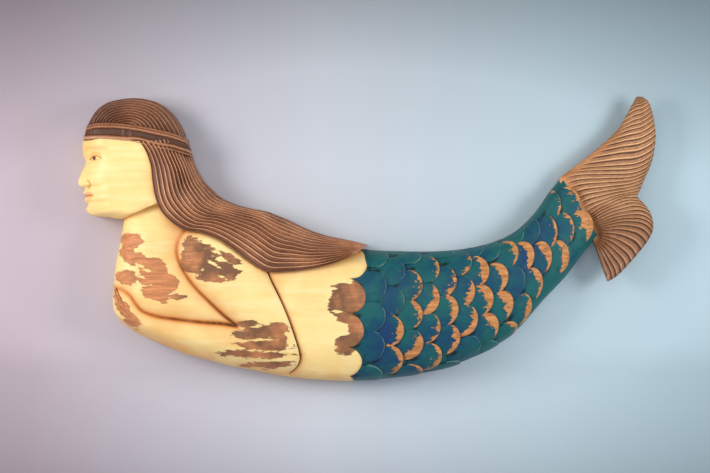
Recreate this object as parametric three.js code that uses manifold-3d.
// Mermaid wall sculpture: one plank, carved in high relief on the front and flat on the back.
// Millimetres, +Z up. The flat back lies in the plane y = 0 and the carving faces -Y.
// The origin is on the back at the hanging point, just above the centre of mass.
// Points in the plane of the wall are [x, z]; a height is a distance off the wall, towards -Y.
import * as THREE from "three";
import { mergeVertices, toCreasedNormals } from "three/addons/utils/BufferGeometryUtils.js";
import Module from "manifold-3d";

// Heights off the wall
const RIM = 20; // straight side wall of the trunk, before its front rounds over
const TORSO = 80; // crown of the torso, at the waist too
const TAIL_END = 44; // crown of the tail where the fin starts
const CHEEK = 80; // flat plane of the cheek
const PROFILE = 50; // edge of the face, set back from the cheek
const HAIR = 90; // crown of the hair that lies on the shoulder
const HAIR_RIM = 34; // outer edge of the hair
const ARM = 90; // crown of the upper arm
const FIN_TIP = 40; // front of the fin at its upper tip
const FIN_LOW = 58; // front of the fin along its lower lobe

// Carving
const CAP_FLUTES = 11;
const CAP_FLUTE_DEPTH = 3.2;
const HAIR_FLUTES = 13;
const HAIR_FLUTE_DEPTH = 3.6;
const FIN_FLUTE_DEPTH = 2.6;
const FIN_BACK_SLOPES = [0.25, -0.05]; // rise of the fin's flat back off the wall, along X and along Z
const FIN_GRIP = 0.33; // how far a flute keeps its direction at each end, as a share of its length
const FIN_EDGE = 9; // how far the fin's upper edge falls away
const FIN_FULL = 90; // from the root to where the fin has its full height
const FIN_TURN = [60, 150]; // Z between which the front of the lower lobe turns into the upper's
const SCALE_COLUMNS = 14;
const SCALE_START = 12; // from the waist to the middle of the first column of scales
const SCALE_PITCH = 29.5; // from one column of scales to the next, along the tail
const SCALE_SPACING = 46.5; // from one scale to the next in a column, at the waist
const SCALE_LIFT = 6.4; // free edge of a scale above the tail
const LOBE_LIFT = 6; // free edge of the skin's lobes at the waist
const CREASE = Math.PI / 9; // edges sharper than this are shown as edges

// Edge curves in the plane of the wall. The two curves of a pair are matched point by point.
const trunkTop = spline([
  [-316, -42], [-314, -22], [-309, 11], [-302, 48], [-296, 80], [-286, 104], [-264, 120],
  [-232, 127], [-197, 122], [-168, 110], [-128, 93], [-77, 81], [-24, 60], [32, 40], [90, 25],
  [144, 22], [208, 22], [256, 27], [296, 37], [331, 54], [363, 85], [384, 115], [403, 139],
]);
const trunkBottom = spline([
  [-316, -60], [-313, -75], [-306, -88], [-285, -105], [-256, -120], [-230, -131],
  [-203, -142], [-176, -150], [-152, -156], [-125, -163], [-88, -170], [-48, -178],
  [-8, -183], [40, -186], [78, -186], [144, -180], [218, -165], [282, -138], [330, -106],
  [373, -58], [410, -19], [434, 13], [461, 46],
]);
const WAIST = 14 / 22; // where along the trunk the skin ends and the tail starts

const faceEdge = spline([
  [-361, 202], [-362, 187], [-361, 174], [-357, 165], [-363, 149], [-369, 132], [-367, 126],
  [-358, 122], [-361, 116], [-357, 110], [-359, 103], [-353, 97], [-356, 89], [-349, 80],
  [-323, 76], [-298, 74], [-276, 85], [-257, 94],
]);
const hairline = spline([
  [-268, 196], [-259, 181], [-251, 158], [-248, 133], [-245, 116], [-243, 107], [-240, 100],
  [-238, 96],
]);
const capEdge = spline([
  [-358, 219], [-350, 235], [-339, 250], [-323, 260], [-304, 265], [-283, 267], [-261, 265],
  [-240, 258], [-224, 246], [-211, 230], [-203, 214], [-200, 203],
]);
const capFoot = spline([[-307, 214], [-299, 220], [-290, 222], [-281, 220], [-272, 212]]);
const bandTop = spline([
  [-353, 221], [-336, 225], [-304, 225], [-272, 221], [-240, 215], [-216, 209], [-198, 202],
]);
const bandBottom = spline([
  [-359, 198], [-336, 198], [-304, 196], [-272, 193], [-243, 185], [-216, 181], [-189, 173],
]);
const hairInner = spline([
  [-270, 195], [-259, 181], [-251, 158], [-248, 133], [-243, 107], [-234, 86], [-218, 69],
  [-197, 56], [-170, 52], [-141, 40], [-115, 22], [-90, 3], [-67, -10], [-35, -10], [-8, -7],
  [17, -2], [38, 4], [56, 11], [72, 18],
]);
const hairOuter = spline([
  [-197, 202], [-190, 174], [-184, 158], [-177, 144], [-168, 131], [-158, 121], [-147, 111],
  [-131, 102], [-112, 95], [-91, 90], [-70, 86], [-51, 79], [-32, 71], [-14, 62], [5, 54],
  [27, 47], [51, 42], [74, 37], [93, 32],
]);
const upperArmLeft = spline([
  [-195, 58], [-206, 43], [-210, 24], [-206, 5], [-195, -16], [-179, -37], [-158, -58],
  [-138, -77], [-115, -96],
]);
const upperArmRight = spline([
  [-192, 58], [-166, 51], [-138, 38], [-109, 18], [-80, -3], [-61, -29], [-43, -67],
  [-27, -109], [-12, -152],
]);
const forearmTop = spline([
  [-77, -104], [-115, -96], [-152, -92], [-192, -88], [-232, -82], [-256, -75], [-270, -61],
  [-286, -42], [-311, -34],
]);
const forearmBottom = spline([
  [-16, -166], [-64, -168], [-107, -162], [-152, -153], [-197, -140], [-240, -124],
  [-277, -107], [-302, -88], [-315, -56],
]);
// Left and right ends of the fin's flutes, from its upper tip to the notch and on to its lower tip
const finLeftUpper = spline([
  [523, 269], [512, 249], [495, 219], [471, 195], [443, 172], [414, 149], [400, 137], [408, 121],
  [417, 103], [427, 87], [436, 74],
]);
const finRimUpper = spline([
  [532, 270], [541, 263], [547, 248], [551, 230], [553, 209], [551, 185], [547, 166], [541, 150],
  [534, 134], [528, 120], [522, 110],
]);
const upperEdge = (t) => finLeftUpper(0.6 * t);
const finLeftLower = spline([[436, 74], [444, 60], [450, 50], [453, 42]]);
const finRimLower = spline([
  [522, 110], [534, 97], [543, 83], [547, 67], [546, 54], [538, 38], [522, 17], [506, -1],
  [490, -17], [476, -26],
]);
const finRoot = spline([[399, 137], [455, 44]]);

// The fin's lobes, with the directions in degrees in which their flutes leave and arrive
const FIN_LOBES = [
  {
    flutes: 20,
    left: finLeftUpper,
    rim: finRimUpper,
    leave: through([50, 46, 38, 30, 30, 32, 33, 34, 35]),
    arrive: through([60, 52, 50, 50, 52, 48, 35, 15, -5]),
  },
  {
    flutes: 14,
    left: finLeftLower,
    rim: finRimLower,
    leave: through([35, 33, 28, 24, 16, 5, -12, -38, -66]),
    arrive: through([-5, -35, -52, -60, -64, -67, -70, -74, -78]),
  },
];

// A smooth curve through points of the wall plane, for t from 0 to 1
function spline(points) {
  const stops = points.map(([x, z]) => new THREE.Vector3(x, 0, z));
  const path = new THREE.CatmullRomCurve3(stops, false, "centripetal");
  return (t) => path.getPoint(THREE.MathUtils.clamp(t, 0, 1));
}

// A value that runs smoothly through equally spaced stops
function through(stops) {
  const path = new THREE.CatmullRomCurve3(stops.map((stop, i) => new THREE.Vector3(i, stop, 0)));
  return (t) => path.getPoint(THREE.MathUtils.clamp(t, 0, 1)).y;
}

// Cross-section of a rounded front: 0 at both edges (v = 0 and 1) and 1 in the middle
function rounded(v, power = 2.4) {
  return (1 - Math.abs(2 * v - 1) ** power) ** (1 / power);
}

// Even steps from 0 to 1, or closer together at both ends
function steps(count, crowded = false) {
  const even = Array.from({ length: count + 1 }, (_, i) => i / count);
  return crowded ? even.map((w) => (1 - Math.cos(Math.PI * w)) / 2) : even;
}

// A closed block: a grid of front points, side walls, and a back that is a plain ladder across the
// outline of the grid, or follows the grid
function block(us, vs, frontPoint, backHeight, ladder = true) {
  const width = vs.length;
  const last = us.length - 1;
  const positions = [];
  const triangles = [];
  const front = (i, j) => i * width + j;
  const quad = (a, b, c, d) => triangles.push(a, b, c, a, c, d);
  for (const u of us) {
    for (const v of vs) {
      positions.push(...frontPoint(u, v).toArray());
    }
  }
  const backs = new Map();
  const back = (i, j) => {
    const key = front(i, j);
    if (!backs.has(key)) {
      const [x, , z] = positions.slice(3 * key, 3 * key + 3);
      backs.set(key, positions.length / 3);
      positions.push(x, -backHeight(x, z), z);
    }
    return backs.get(key);
  };
  for (let i = 0; i < last; i += 1) {
    for (let j = 0; j < width - 1; j += 1) {
      quad(front(i, j), front(i, j + 1), front(i + 1, j + 1), front(i + 1, j));
      if (!ladder) {
        quad(back(i, j), back(i + 1, j), back(i + 1, j + 1), back(i, j + 1));
      }
    }
    quad(front(i, 0), front(i + 1, 0), back(i + 1, 0), back(i, 0));
    quad(front(i, width - 1), back(i, width - 1), back(i + 1, width - 1), front(i + 1, width - 1));
    if (ladder && i > 0 && i < last - 1) {
      quad(back(i, 0), back(i + 1, 0), back(i + 1, width - 1), back(i, width - 1));
    }
  }
  for (let j = 0; j < width - 1; j += 1) {
    quad(front(0, j), back(0, j), back(0, j + 1), front(0, j + 1));
    quad(front(last, j), front(last, j + 1), back(last, j + 1), back(last, j));
    if (ladder) {
      triangles.push(back(1, 0), back(0, j + 1), back(0, j));
      triangles.push(back(last - 1, 0), back(last, j), back(last, j + 1));
    }
  }
  if (ladder) {
    triangles.push(back(1, 0), back(1, width - 1), back(0, width - 1));
    triangles.push(back(last - 1, 0), back(last, width - 1), back(last - 1, width - 1));
  }
  return solid(positions, triangles);
}

const wasm = await Module();
wasm.setup();

// A closed body from positions and triangles, turned so that its faces point out
function solid(positions, triangles) {
  const geometry = new THREE.BufferGeometry();
  geometry.setAttribute("position", new THREE.Float32BufferAttribute(positions, 3));
  geometry.setIndex(triangles);
  const merged = mergeVertices(geometry, 1e-3);
  const points = merged.attributes.position;
  const order = Array.from(merged.index.array);
  const corner = (i) => new THREE.Vector3().fromBufferAttribute(points, order[i]);
  let volume = 0;
  const kept = [];
  for (let i = 0; i < order.length; i += 3) {
    const [a, b, c] = [order[i], order[i + 1], order[i + 2]];
    if (a !== b && b !== c && c !== a) {
      kept.push(a, b, c);
      volume += corner(i).dot(corner(i + 1).cross(corner(i + 2)));
    }
  }
  if (volume < 0) {
    kept.reverse();
  }
  const mesh = new wasm.Mesh({
    numProp: 3,
    vertProperties: Float32Array.from(points.array),
    triVerts: Uint32Array.from(kept),
  });
  return new wasm.Manifold(mesh);
}

// A carved body between two edge curves, v running from near to far, with its front and back heights
function lofted({ near, far, us, vs, front, back = () => 0 }) {
  const place = (u, v) => {
    const point = near(u).lerp(far(u), v);
    point.y = -front(u, v);
    return point;
  };
  return block(us, vs, place, back);
}

// Trunk: neck, chest, belly and tail in one rounded body
const trunkCrown = through([
  RIM + 6, 62, 76, TORSO, TORSO, TORSO + 2, TORSO + 3, TORSO + 3, 80, 70, 57, TAIL_END,
]);

function trunkHeight(u, v) {
  return RIM + (trunkCrown(u) - RIM) * rounded(v);
}

function trunkPoint(u, v) {
  const point = trunkTop(u).lerp(trunkBottom(u), v);
  point.y = -trunkHeight(u, v);
  return point;
}

function trunk() {
  return lofted({
    near: trunkTop,
    far: trunkBottom,
    us: steps(33),
    vs: steps(10, true),
    front: trunkHeight,
  });
}

// A tilted plate with a round free edge, laid on the trunk at (u, v)
function plate(u, v, { reach, halfWidth, length, lift, sunk = 12, arc = 5 }) {
  const nudge = 1e-3;
  const centre = trunkPoint(u, v);
  const along = trunkPoint(u + nudge, v).sub(centre).divideScalar(nudge);
  const across = trunkPoint(u, v + nudge).sub(centre).divideScalar(nudge);
  const at = (a, b, height) => {
    const uu = THREE.MathUtils.clamp(u + a / along.length(), 0, 0.999);
    const vv = THREE.MathUtils.clamp(v + b / across.length(), 0.02, 0.98);
    const point = trunkPoint(uu, vv);
    const dU = trunkPoint(uu + nudge, vv).sub(point);
    const dV = trunkPoint(uu, vv + nudge).sub(point);
    const normal = dU.cross(dV).normalize();
    if (normal.y > 0) {
      normal.negate();
    }
    return point.addScaledVector(normal, height);
  };
  const outline = [[-length, -halfWidth * 0.75]];
  for (const step of steps(arc)) {
    const angle = Math.PI * (step - 0.5);
    outline.push([reach * Math.cos(angle), halfWidth * Math.sin(angle)]);
  }
  outline.push([-length, halfWidth * 0.75]);
  const rise = (a) => (lift * (a + length)) / (reach + length) - 0.3;
  const count = outline.length;
  const middle = reach * 0.15;
  const positions = [];
  for (const [a, b] of outline) {
    positions.push(...at(a, b, rise(a)).toArray());
  }
  for (const [a, b] of outline) {
    positions.push(...at(a, b, -sunk).toArray());
  }
  positions.push(...at(middle, 0, rise(middle) + 1).toArray());
  positions.push(...at(-length * 0.4, 0, -sunk).toArray());
  const triangles = [];
  for (let i = 0; i < count; i += 1) {
    const next = (i + 1) % count;
    triangles.push(i, next, 2 * count);
    triangles.push(count + next, count + i, 2 * count + 1);
    triangles.push(i, count + i, count + next, i, count + next, next);
  }
  return solid(positions, triangles);
}

// Place along the trunk, as u, of each step of a distance measured from the waist
function alongTail(distance) {
  let walked = 0;
  const step = 0.002;
  const middle = (u) => trunkTop(u).lerp(trunkBottom(u), 0.5);
  let u = WAIST;
  while (walked < distance && u < 1) {
    walked += middle(u).distanceTo(middle(u + step));
    u += step;
  }
  return u;
}

// The skin's lobes at the waist, then columns of scales, each column half a scale lower or higher
function plates() {
  const pieces = [];
  for (let column = 0; column <= SCALE_COLUMNS; column += 1) {
    const u = alongTail(column === 0 ? 0 : SCALE_START + (column - 1) * SCALE_PITCH);
    const width = trunkTop(u).distanceTo(trunkBottom(u));
    const taper = THREE.MathUtils.lerp(1, 0.9, column / SCALE_COLUMNS);
    const spacing = (SCALE_SPACING * taper) / width;
    const start = column % 2 === 1 ? 0.5 : 0.5 - spacing / 2;
    const size = column === 0
      ? { reach: 28, halfWidth: 26, length: 30, lift: LOBE_LIFT }
      : { reach: 24 * taper, halfWidth: 25 * taper, length: 32, lift: SCALE_LIFT };
    for (let row = -2; row <= 3; row += 1) {
      const v = start + row * spacing;
      if (v > 0.03 && v < 0.97) {
        pieces.push(plate(u, v, size));
      }
    }
  }
  return pieces;
}

// Face: a flat cheek plane that rounds back to the profile, with brow, eye, nose wing and lips
const FACE_FEATURES = [
  { x: -340, z: 158, rx: 13, rz: 5, rise: -4.5 }, // eye socket
  { x: -341, z: 158, rx: 6, rz: 4, rise: 4 }, // eyelid
  { x: -338, z: 170, rx: 16, rz: 4, rise: 2.5 }, // brow
  { x: -354, z: 130, rx: 7, rz: 5, rise: 4 }, // wing of the nose
  { x: -349, z: 110, rx: 8, rz: 2.2, rise: -3.5 }, // mouth
  { x: -348, z: 116, rx: 8, rz: 3, rise: 2.5 }, // upper lip
  { x: -348, z: 104, rx: 7, rz: 3, rise: 2.5 }, // lower lip
];

function faceRelief(x, z) {
  let rise = 0;
  for (const feature of FACE_FEATURES) {
    const distance = ((x - feature.x) / feature.rx) ** 2 + ((z - feature.z) / feature.rz) ** 2;
    rise += feature.rise * Math.exp(-distance);
  }
  return rise;
}

function faceHeight(u, v) {
  const turned = 1 - (1 - Math.min(v / 0.42, 1)) ** 2.2;
  const underJaw = THREE.MathUtils.smoothstep(u, 0.86, 1);
  const point = faceEdge(u).lerp(hairline(u), v);
  return PROFILE + (CHEEK - PROFILE) * turned - 10 * underJaw + faceRelief(point.x, point.z);
}

function face() {
  return lofted({ near: faceEdge, far: hairline, us: steps(24), vs: steps(8), front: faceHeight });
}

// A flute's depth below its ridges, for a place across the flutes: ridges at whole numbers
function fluted(place, depth) {
  return -depth * (1 - Math.abs(2 * (place - Math.floor(place)) - 1));
}

// Point of a fluted front that turns from facing forwards (v = 0) to facing outwards (v = 1)
function flutedPoint(near, far, v, height, flute) {
  const point = near.clone().lerp(far, v);
  const outwards = far.clone().sub(near).normalize();
  const turned = Math.min(v, 1) ** 3;
  point.addScaledVector(outwards, flute * turned);
  point.y = -height - flute * Math.sqrt(1 - turned ** 2);
  return point;
}

// Cap of hair on the head, carved in arches that follow its outline
function cap() {
  const place = (u, v) => {
    const dome = (1 - v ** 2.6) ** 0.5;
    const sides = 0.35 + 0.65 * rounded(u, 3);
    const height = HAIR_RIM + (CHEEK - 2 - HAIR_RIM) * dome * sides;
    const flute = fluted(v * CAP_FLUTES, CAP_FLUTE_DEPTH);
    return flutedPoint(capFoot(u), capEdge(u), v, height, flute);
  };
  return block(steps(12), steps(2 * CAP_FLUTES), place, () => 0);
}

// Headband: two ridges, a channel and a lower ridge
function band() {
  const section = [3, 6, 4.5, 6, 0, 0, 5, 6, 3];
  const front = (u, v) => {
    const girth = 0.12 + 0.88 * rounded(u * 0.9 + 0.05, 3);
    const ridge = section[Math.round(v * (section.length - 1))];
    return PROFILE - 14 + (CHEEK - PROFILE + 10) * girth + ridge;
  };
  const vs = steps(section.length - 1);
  return lofted({ near: bandTop, far: bandBottom, us: steps(12), vs, front });
}

// Hair that falls from the band behind the face, over the shoulder and along the back
function hair() {
  const crown = through([
    CHEEK + 2, CHEEK + 3, CHEEK + 6, HAIR, HAIR, HAIR, HAIR - 1, HAIR - 2, HAIR - 6,
  ]);
  const wave = (u, v) => 0.35 * Math.sin(14 * Math.PI * u + 3 * v) * Math.sin(Math.PI * v);
  const place = (u, v) => {
    const slope = (1 - v ** 2.6) ** 0.45;
    const height = HAIR_RIM + (crown(u) - HAIR_RIM) * slope;
    const across = v + wave(u, v) / HAIR_FLUTES;
    const flute = fluted(v * HAIR_FLUTES, HAIR_FLUTE_DEPTH);
    return flutedPoint(hairInner(u), hairOuter(u), across, height, flute);
  };
  return block(steps(17), steps(2 * HAIR_FLUTES), place, () => 0);
}

// Upper arm from the shoulder to the elbow, and the forearm that ends in the hand on the chest
function upperArm() {
  const foot = TORSO - 22;
  const front = (u, v) => {
    const shoulder = 0.8 + 0.2 * rounded(Math.min(2 * u, 0.5));
    return foot + (ARM - foot) * rounded(v, 2.6) * shoulder;
  };
  return lofted({
    near: upperArmLeft,
    far: upperArmRight,
    us: steps(14),
    vs: steps(7, true),
    front,
  });
}

function forearm() {
  const crown = through([TORSO - 4, ARM - 4, ARM - 3, ARM - 4, ARM - 6, ARM - 9, 74, 62, 44]);
  const front = (u, v) => {
    const foot = THREE.MathUtils.lerp(crown(u) - 22, RIM + 8, v ** 2);
    return foot + (crown(u) - foot) * rounded(v, 2.4);
  };
  return lofted({ near: forearmTop, far: forearmBottom, us: steps(16), vs: steps(9, true), front });
}

// Distance in the plane of the wall from a point to a curve
function distanceTo(curve, point) {
  const pieces = 11;
  const nearest = new THREE.Vector3();
  const gaps = steps(pieces).map((t) => {
    const piece = new THREE.Line3(curve(t), curve(t + 1 / pieces));
    piece.closestPointToPoint(point, true, nearest);
    return nearest.distanceTo(point);
  });
  return Math.min(...gaps);
}

// Tail fin: two lobes with a notch between them, fluted from the root and the upper edge to the rim
function fin() {
  const heading = (degrees) => {
    const turn = THREE.MathUtils.degToRad(degrees);
    return new THREE.Vector3(Math.cos(turn), 0, Math.sin(turn));
  };
  const flow = ({ left, rim, leave, arrive }, w, u) => {
    const start = left(w);
    const end = rim(w);
    const grip = start.distanceTo(end) * FIN_GRIP;
    const first = start.clone().addScaledVector(heading(leave(w)), grip);
    const second = end.clone().addScaledVector(heading(arrive(w)), -grip);
    return new THREE.CubicBezierCurve3(start, first, second, end).getPoint(u);
  };
  const height = (point) => {
    const turned = THREE.MathUtils.smoothstep(point.z, ...FIN_TURN);
    const outer = THREE.MathUtils.lerp(FIN_LOW, FIN_TIP, turned);
    const away = Math.min(1, distanceTo(finRoot, point) / FIN_FULL);
    const fallen = FIN_EDGE * Math.exp(-distanceTo(upperEdge, point) / FIN_EDGE);
    return THREE.MathUtils.lerp(TAIL_END, outer, away) - fallen;
  };
  const [slopeX, slopeZ] = FIN_BACK_SLOPES;
  const corner = finRoot(0);
  const back = (x, z) => Math.max(0, slopeX * (x - corner.x) + slopeZ * (z - corner.z));
  const lobes = FIN_LOBES.map((lobe) => {
    const place = (w, u) => {
      const point = flow(lobe, w, u);
      const flute = fluted(w * lobe.flutes, FIN_FLUTE_DEPTH * Math.min(1, 0.35 + 2 * u));
      point.y = -height(point) - flute;
      return point;
    };
    return block(steps(2 * lobe.flutes), steps(4), place, back, false);
  });
  return lobes[0].add(lobes[1]);
}

// All of it is one carved piece
function carving() {
  const bodies = [trunk(), face(), cap(), band(), hair(), upperArm(), forearm(), fin(), ...plates()];
  const joined = bodies.reduce((whole, body) => whole.add(body));
  const { vertProperties, triVerts } = joined.getMesh();
  const geometry = new THREE.BufferGeometry();
  geometry.setAttribute("position", new THREE.BufferAttribute(Float32Array.from(vertProperties), 3));
  geometry.setIndex(Array.from(triVerts));
  return toCreasedNormals(geometry, CREASE);
}

const paintedWood = new THREE.MeshStandardMaterial({ color: 0xe6c18c, roughness: 0.55, metalness: 0 });
const sculpture = new THREE.Mesh(carving(), paintedWood);
sculpture.name = "mermaid_carving";

const object = new THREE.Group();
object.add(sculpture);

export default object;
